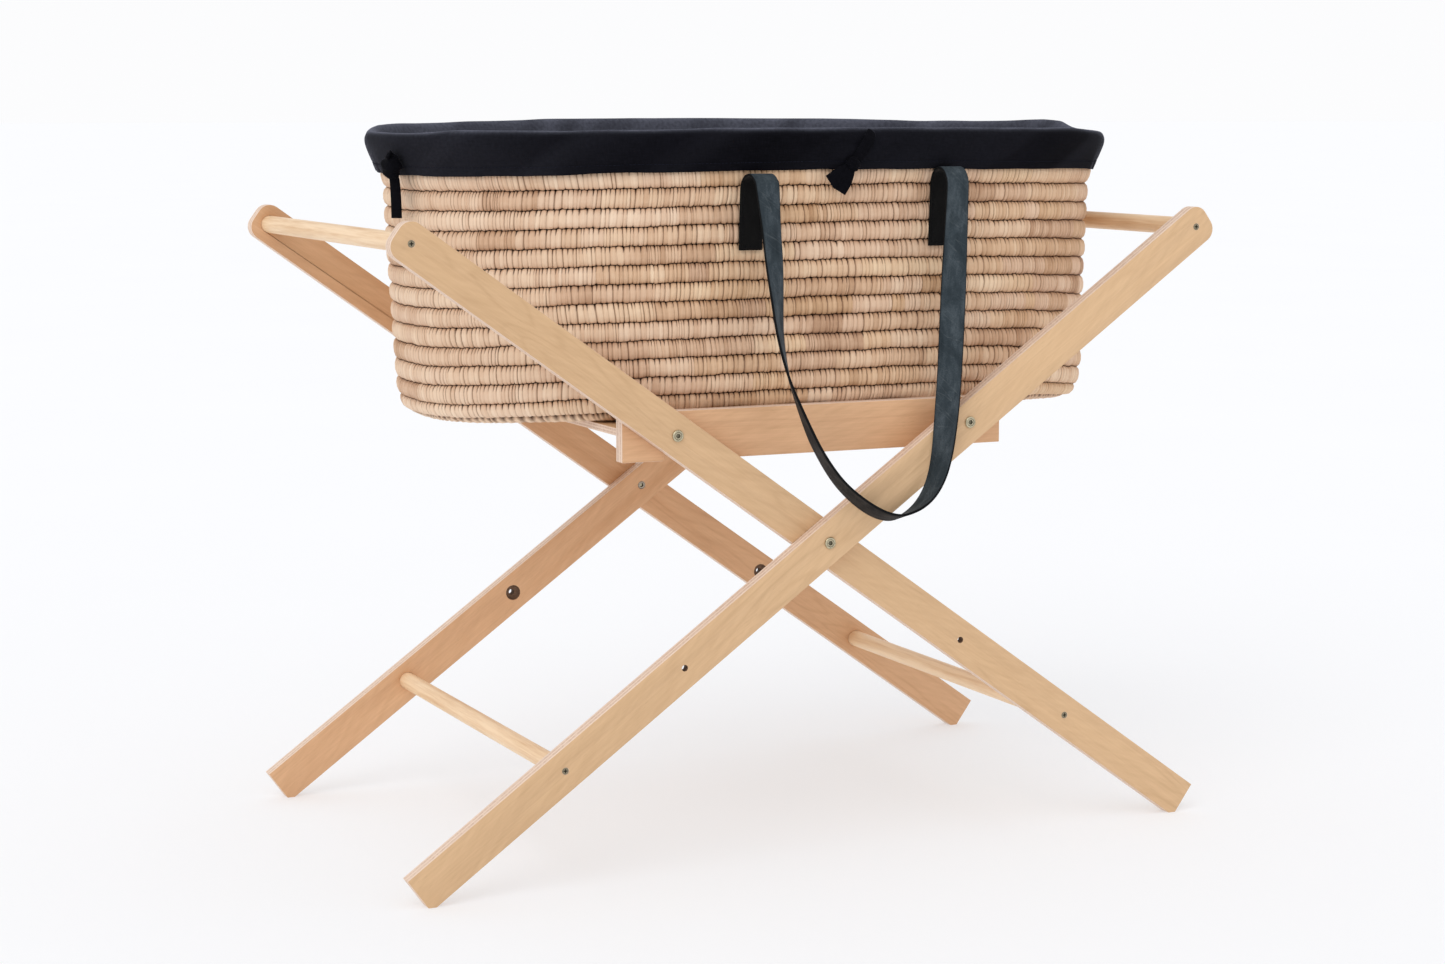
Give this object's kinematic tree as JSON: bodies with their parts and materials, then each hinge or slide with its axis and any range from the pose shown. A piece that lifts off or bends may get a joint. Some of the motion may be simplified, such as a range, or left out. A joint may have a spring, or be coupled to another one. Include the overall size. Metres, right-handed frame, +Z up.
{
  "type": "bassinet on stand",
  "caption": "Oval coiled-leaf bassinet basket with cloth liner, mattress and leather handles, on a crossing plywood stand with a lift-off slatted platform.",
  "frame": {"origin": "on the floor, midway between the four feet", "axes": "+X along the length of the basket, -Y the front, +Z up"},
  "size_m": [0.9158, 0.5826, 0.7577],
  "materials": {
    "ply": "clear lacquered plywood face",
    "dowel": "turned pale hardwood",
    "brass": "antique brass plated fastener",
    "steel": "nickel plated sleeve",
    "palm": "coiled palm leaf, stitched",
    "navy_cloth": "matt cotton cloth",
    "mattress_cloth": "quilted cotton",
    "nubuck": "nubuck, dark flesh side"
  },
  "bodies": {
    "frame_a": {"leg_front_inner": "ply", "leg_rear_outer": "ply", "upper_crossbar_left": "dowel", "lower_crossbar_right": "dowel", "crossbar_screw_a_upper_front": "brass", "crossbar_screw_a_upper_rear": "brass", "crossbar_screw_a_lower_front": "brass", "crossbar_screw_a_lower_rear": "brass", "platform_peg_front_left": "steel", "peg_bolt_front_left": "brass", "platform_peg_rear_left": "steel", "peg_bolt_rear_left": "brass", "pivot_bolt_front": "brass", "pivot_insert_front": "steel"},
    "frame_b": {"leg_front_outer": "ply", "leg_rear_inner": "ply", "upper_crossbar_right": "dowel", "lower_crossbar_left": "dowel", "crossbar_screw_b_upper_front": "brass", "crossbar_screw_b_upper_rear": "brass", "crossbar_screw_b_lower_front": "brass", "crossbar_screw_b_lower_rear": "brass", "platform_peg_front_right": "steel", "peg_bolt_front_right": "brass", "platform_peg_rear_right": "steel", "peg_bolt_rear_right": "brass", "pivot_bolt_rear": "brass", "pivot_insert_rear": "steel"},
    "platform": {"platform_rail_front": "ply", "platform_rail_rear": "ply", "platform_slat_1": "ply", "platform_slat_2": "ply", "platform_slat_3": "ply", "platform_slat_4": "ply", "platform_slat_5": "ply"},
    "basket": {"basket_shell": "palm", "liner": "navy_cloth", "mattress": "mattress_cloth", "liner_tie_front": "navy_cloth", "liner_tie_rear": "navy_cloth", "liner_tie_left": "navy_cloth", "liner_tie_right": "navy_cloth", "front_handle_end_left": "nubuck", "front_handle_end_right": "nubuck", "rear_handle_end_left": "nubuck", "rear_handle_end_right": "nubuck"},
    "front_handle": {"front_handle_strap": "nubuck"},
    "rear_handle": {"rear_handle_strap": "nubuck"}
  },
  "joints": [
    {"name": "platform_lift", "type": "slide", "parent": "frame_a", "child": "platform", "axis": [0.0995, 0, 0.995], "range_m": [0, 0.545]},
    {"name": "stand_fold", "type": "hinge", "parent": "frame_a", "child": "frame_b", "pos_m": [0, 0, 0.331], "axis": [0, 1, 0], "range_deg": [0, 62.6]},
    {"name": "basket_lift", "type": "slide", "parent": "platform", "child": "basket", "axis": [0, 0, 1], "range_m": [0, 0.35]},
    {"name": "front_handle_swing", "type": "hinge", "parent": "basket", "child": "front_handle", "pos_m": [0, -0.243, 0.69], "axis": [-1, 0, 0], "range_deg": [0, 150]},
    {"name": "rear_handle_swing", "type": "hinge", "parent": "basket", "child": "rear_handle", "pos_m": [0, 0.243, 0.69], "axis": [1, 0, 0], "range_deg": [0, 150]}
  ],
  "couplings": [
    {"joint": "stand_fold", "follows": "platform_lift", "rad_per_m": 2}
  ]
}
